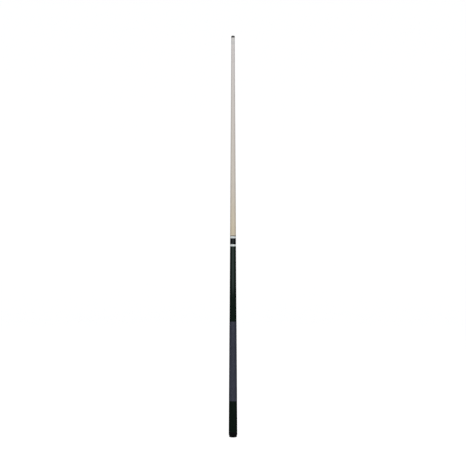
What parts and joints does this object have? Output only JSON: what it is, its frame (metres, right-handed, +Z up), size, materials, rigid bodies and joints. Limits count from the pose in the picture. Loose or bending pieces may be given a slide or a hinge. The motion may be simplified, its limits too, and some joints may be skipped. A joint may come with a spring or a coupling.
{
  "type": "two-piece pool cue",
  "caption": "Tapered two-piece pool cue: maple shaft with ferrule and leather tip, screwed to a dark green butt with a wound grip, butt cap and rubber bumper.",
  "frame": {"origin": "centre of the rubber bumper's flat foot, on the floor, with the cue standing upright", "axes": "+Z up the cue's own axis from the bumper to the leather tip; the outside is round, so +X and +Y are only crosswise directions, and the picture's viewer looks along +Y"},
  "size_m": [0.0318, 0.0318, 1.4732],
  "materials": {
    "leather": "dark, compressed, chalked on the dome",
    "fibre": "vulcanised fibre, matt",
    "ferrule_white": "satin, slightly warm white",
    "maple": "pale straight-grained maple under a thin satin sealer",
    "ring_white": "gloss",
    "ring_dark": "gloss",
    "black_plastic": "gloss",
    "green_stain": "dark green stain under high-gloss lacquer",
    "linen": "slate blue-grey pressed linen thread",
    "brass": "machined",
    "stainless": "machined stainless",
    "plain_steel": "plain steel",
    "bumper_rubber": "moulded, matt"
  },
  "bodies": {
    "butt_body": {"butt_cap": "black_plastic", "weight_bolt": "plain_steel", "butt_sleeve": "green_stain", "handle_core": "maple", "grip_wrap": "linen", "handle_stud": "plain_steel", "forearm": "green_stain", "joint_ring": "ring_white", "joint_collar": "black_plastic", "joint_pin": "stainless"},
    "bumper_body": {"bumper": "bumper_rubber"},
    "shaft_travel_body": {"shaft_collar": "ring_white"},
    "shaft_body": {"shaft_trim_ring": "ring_dark", "shaft": "maple", "shaft_insert": "brass", "ferrule": "ferrule_white", "tip_pad": "fibre", "tip": "leather"}
  },
  "joints": [
    {"name": "shaft_travel", "type": "slide", "parent": "butt_body", "child": "shaft_travel_body", "axis": [0, 0, 1], "range_m": [0, 0.0268]},
    {"name": "shaft_turn", "type": "hinge", "parent": "shaft_travel_body", "child": "shaft_body", "pos_m": [0, 0, 0.7292], "axis": [0, 0, 1], "range_deg": [0, 6840]},
    {"name": "bumper_pull", "type": "slide", "parent": "butt_body", "child": "bumper_body", "axis": [0, 0, -1], "range_m": [0, 0.014]}
  ],
  "couplings": [
    {"joint": "shaft_turn", "follows": "shaft_travel", "rad_per_m": 4452.7}
  ]
}
